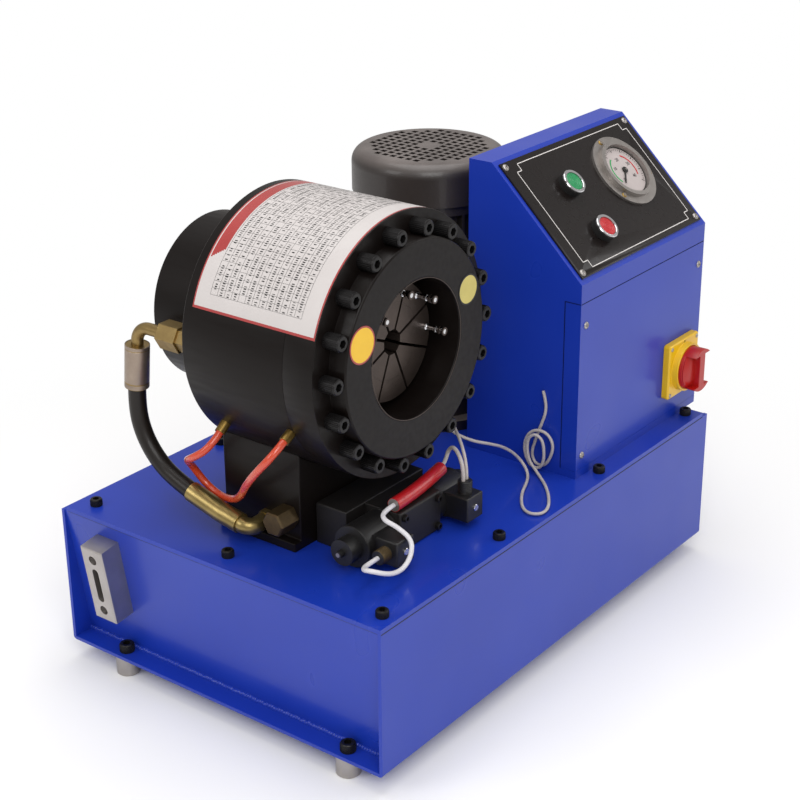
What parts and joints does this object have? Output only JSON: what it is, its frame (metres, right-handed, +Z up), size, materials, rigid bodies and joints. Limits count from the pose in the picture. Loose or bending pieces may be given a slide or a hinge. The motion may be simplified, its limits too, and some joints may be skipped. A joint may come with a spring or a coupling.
{
  "type": "hose crimping machine",
  "caption": "Bench hose crimping machine: ring-piston head with radial dies on a tank base, beside an upright motor and a cabinet with a sloping control panel.",
  "frame": {"origin": "on the floor under the middle of the tank, which is within 5 mm of the middle of the whole machine", "axes": "+X to the right of the operator along the tank, +Y to the back along the crimping axis, +Z up"},
  "size_m": [0.6745, 0.4485, 0.541],
  "materials": {
    "blue_paint": "gloss",
    "black_paint": "gloss",
    "black_steel": "satin",
    "die_steel": "satin",
    "ground_steel": "satin",
    "foot_steel": "satin",
    "aluminium": "satin",
    "valve_grey": "satin",
    "coil_black": "matte",
    "connector_black": "matte",
    "connector_grey": "matte",
    "panel_brown": "gloss",
    "chrome": "polished",
    "button_green": "gloss",
    "button_red": "gloss",
    "switch_yellow": "gloss",
    "gauge_steel": "satin",
    "needle_black": "satin",
    "fan_plastic": "matte",
    "hose_rubber": "matte",
    "zinc_yellow": "satin",
    "brass": "satin",
    "drain_orange": "gloss",
    "cable_white": "satin",
    "cable_grey": "satin",
    "sleeve_red": "satin"
  },
  "bodies": {
    "machine": {"barrel": "black_paint", "cabinet": "blue_paint", "cabinet_screws": "chrome", "cable_sleeve": "sleeve_red", "close_bezel": "chrome", "connector_left": "connector_black", "connector_right": "connector_grey", "control_panel": "panel_brown", "door": "blue_paint", "drain_fittings": "brass", "drain_tube": "drain_orange", "fan_cover": "black_paint", "feet": "foot_steel", "flange_bolts": "black_steel", "foot_bolts": "black_steel", "front_cover": "black_paint", "hose": "hose_rubber", "hose_elbow": "zinc_yellow", "hose_tail": "zinc_yellow", "lid_screws": "black_steel", "loose_cable": "cable_grey", "motor_frame": "black_paint", "neck": "black_paint", "open_bezel": "chrome", "pedestal": "black_paint", "port_plug": "brass", "pressure_gauge": "gauge_steel", "sight_gauge": "aluminium", "solenoid_cable": "cable_white", "solenoid_left": "coil_black", "solenoid_right": "coil_black", "switch_plate": "switch_yellow", "tank": "blue_paint", "tank_lid": "blue_paint", "terminal_box": "black_paint", "valve_block": "valve_grey", "valve_body": "valve_grey"},
    "piston": {"ring_piston": "ground_steel"},
    "close_button": {"close_button": "button_green"},
    "open_button": {"open_button": "button_red"},
    "switch_knob": {"switch_knob": "button_red"},
    "gauge_needle": {"gauge_needle": "needle_black"},
    "motor_fan": {"motor_fan": "fan_plastic"},
    "die_1": {"die_base_1": "die_steel", "die_jaw_1": "die_steel"},
    "die_2": {"die_base_2": "die_steel", "die_jaw_2": "die_steel"},
    "die_3": {"die_base_3": "die_steel", "die_jaw_3": "die_steel"},
    "die_4": {"die_base_4": "die_steel", "die_jaw_4": "die_steel"},
    "die_5": {"die_base_5": "die_steel", "die_jaw_5": "die_steel"},
    "die_6": {"die_base_6": "die_steel", "die_jaw_6": "die_steel"},
    "die_7": {"die_base_7": "die_steel", "die_jaw_7": "die_steel"},
    "die_8": {"die_base_8": "die_steel", "die_jaw_8": "die_steel"}
  },
  "joints": [
    {"name": "piston_slide", "type": "slide", "parent": "machine", "child": "piston", "axis": [0, -1, 0], "range_m": [-0.03359, 0.0112]},
    {"name": "die_1_slide", "type": "slide", "parent": "machine", "child": "die_1", "axis": [-1, 0, 0], "range_m": [-0.009, 0.003]},
    {"name": "die_2_slide", "type": "slide", "parent": "machine", "child": "die_2", "axis": [-0.7071, 0, -0.7071], "range_m": [-0.009, 0.003]},
    {"name": "die_3_slide", "type": "slide", "parent": "machine", "child": "die_3", "axis": [0, 0, -1], "range_m": [-0.009, 0.003]},
    {"name": "die_4_slide", "type": "slide", "parent": "machine", "child": "die_4", "axis": [0.7071, 0, -0.7071], "range_m": [-0.009, 0.003]},
    {"name": "die_5_slide", "type": "slide", "parent": "machine", "child": "die_5", "axis": [1, 0, 0], "range_m": [-0.009, 0.003]},
    {"name": "die_6_slide", "type": "slide", "parent": "machine", "child": "die_6", "axis": [0.7071, 0, 0.7071], "range_m": [-0.009, 0.003]},
    {"name": "die_7_slide", "type": "slide", "parent": "machine", "child": "die_7", "axis": [0, 0, 1], "range_m": [-0.009, 0.003]},
    {"name": "die_8_slide", "type": "slide", "parent": "machine", "child": "die_8", "axis": [-0.7071, 0, 0.7071], "range_m": [-0.009, 0.003]},
    {"name": "close_press", "type": "slide", "parent": "machine", "child": "close_button", "axis": [0, 0.6979, -0.7162], "range_m": [0, 0.003], "stiffness_N_per_m": 900},
    {"name": "open_press", "type": "slide", "parent": "machine", "child": "open_button", "axis": [0, 0.6979, -0.7162], "range_m": [0, 0.003], "stiffness_N_per_m": 900},
    {"name": "main_switch", "type": "hinge", "parent": "machine", "child": "switch_knob", "pos_m": [0.283, -0.2, 0.256], "axis": [0, -1, 0], "range_deg": [0, 90]},
    {"name": "needle_turn", "type": "hinge", "parent": "machine", "child": "gauge_needle", "pos_m": [0.2545, -0.1254, 0.4854], "axis": [0, 0.6979, -0.7162], "range_deg": [0, 270]},
    {"name": "motor_spin", "type": "hinge", "parent": "machine", "child": "motor_fan", "pos_m": [0.147, 0.07, 0.49], "axis": [0, 0, 1], "continuous": true}
  ],
  "couplings": [
    {"joint": "die_1_slide", "follows": "piston_slide", "ratio": 0.26795},
    {"joint": "die_2_slide", "follows": "piston_slide", "ratio": 0.26795},
    {"joint": "die_3_slide", "follows": "piston_slide", "ratio": 0.26795},
    {"joint": "die_4_slide", "follows": "piston_slide", "ratio": 0.26795},
    {"joint": "die_5_slide", "follows": "piston_slide", "ratio": 0.26795},
    {"joint": "die_6_slide", "follows": "piston_slide", "ratio": 0.26795},
    {"joint": "die_7_slide", "follows": "piston_slide", "ratio": 0.26795},
    {"joint": "die_8_slide", "follows": "piston_slide", "ratio": 0.26795}
  ]
}
